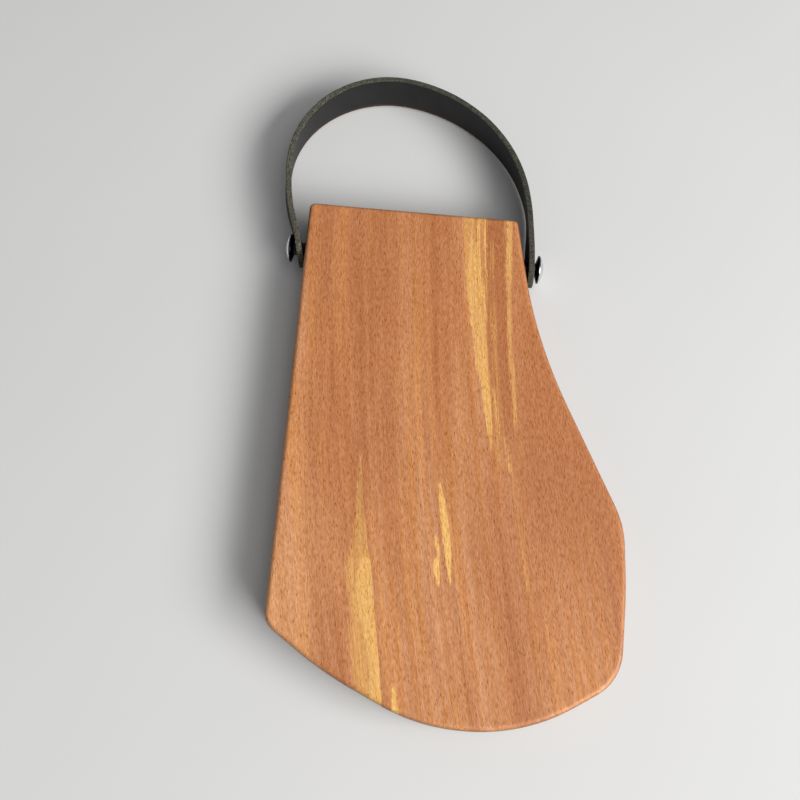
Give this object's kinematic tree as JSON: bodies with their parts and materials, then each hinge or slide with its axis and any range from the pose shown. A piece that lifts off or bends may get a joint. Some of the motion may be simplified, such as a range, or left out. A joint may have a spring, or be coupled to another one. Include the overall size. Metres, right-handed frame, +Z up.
{
  "type": "wooden serving board with leather carry handle",
  "caption": "Free-form slab of oiled beech with eased edges and an arched black leather strap handle that swings on domed dark-metal bolts in its side edges.",
  "frame": {"origin": "on the resting plane, straight below the middle of the handle's hinge line", "axes": "+X along the hinge line, +Y from the board towards the handle's arch, +Z up out of the serving face"},
  "size_m": [0.2083, 0.3762, 0.025],
  "materials": {
    "beech": "oiled, satin",
    "black_leather": "smooth grain face, matt, with raw fibrous cut edges",
    "gunmetal": "polished black nickel",
    "brass": "turned"
  },
  "bodies": {
    "board_assembly": {"board": "beech", "left_shoulder_collar": "gunmetal", "right_shoulder_collar": "gunmetal", "left_dome_bolt": "gunmetal", "right_dome_bolt": "gunmetal", "left_threaded_insert": "brass", "right_threaded_insert": "brass"},
    "handle": {"strap": "black_leather"}
  },
  "joints": [
    {"name": "strap_swing", "type": "hinge", "parent": "board_assembly", "child": "handle", "pos_m": [0, 0, 0.0125], "axis": [1, 0, 0], "range_deg": [-90, 90]}
  ]
}
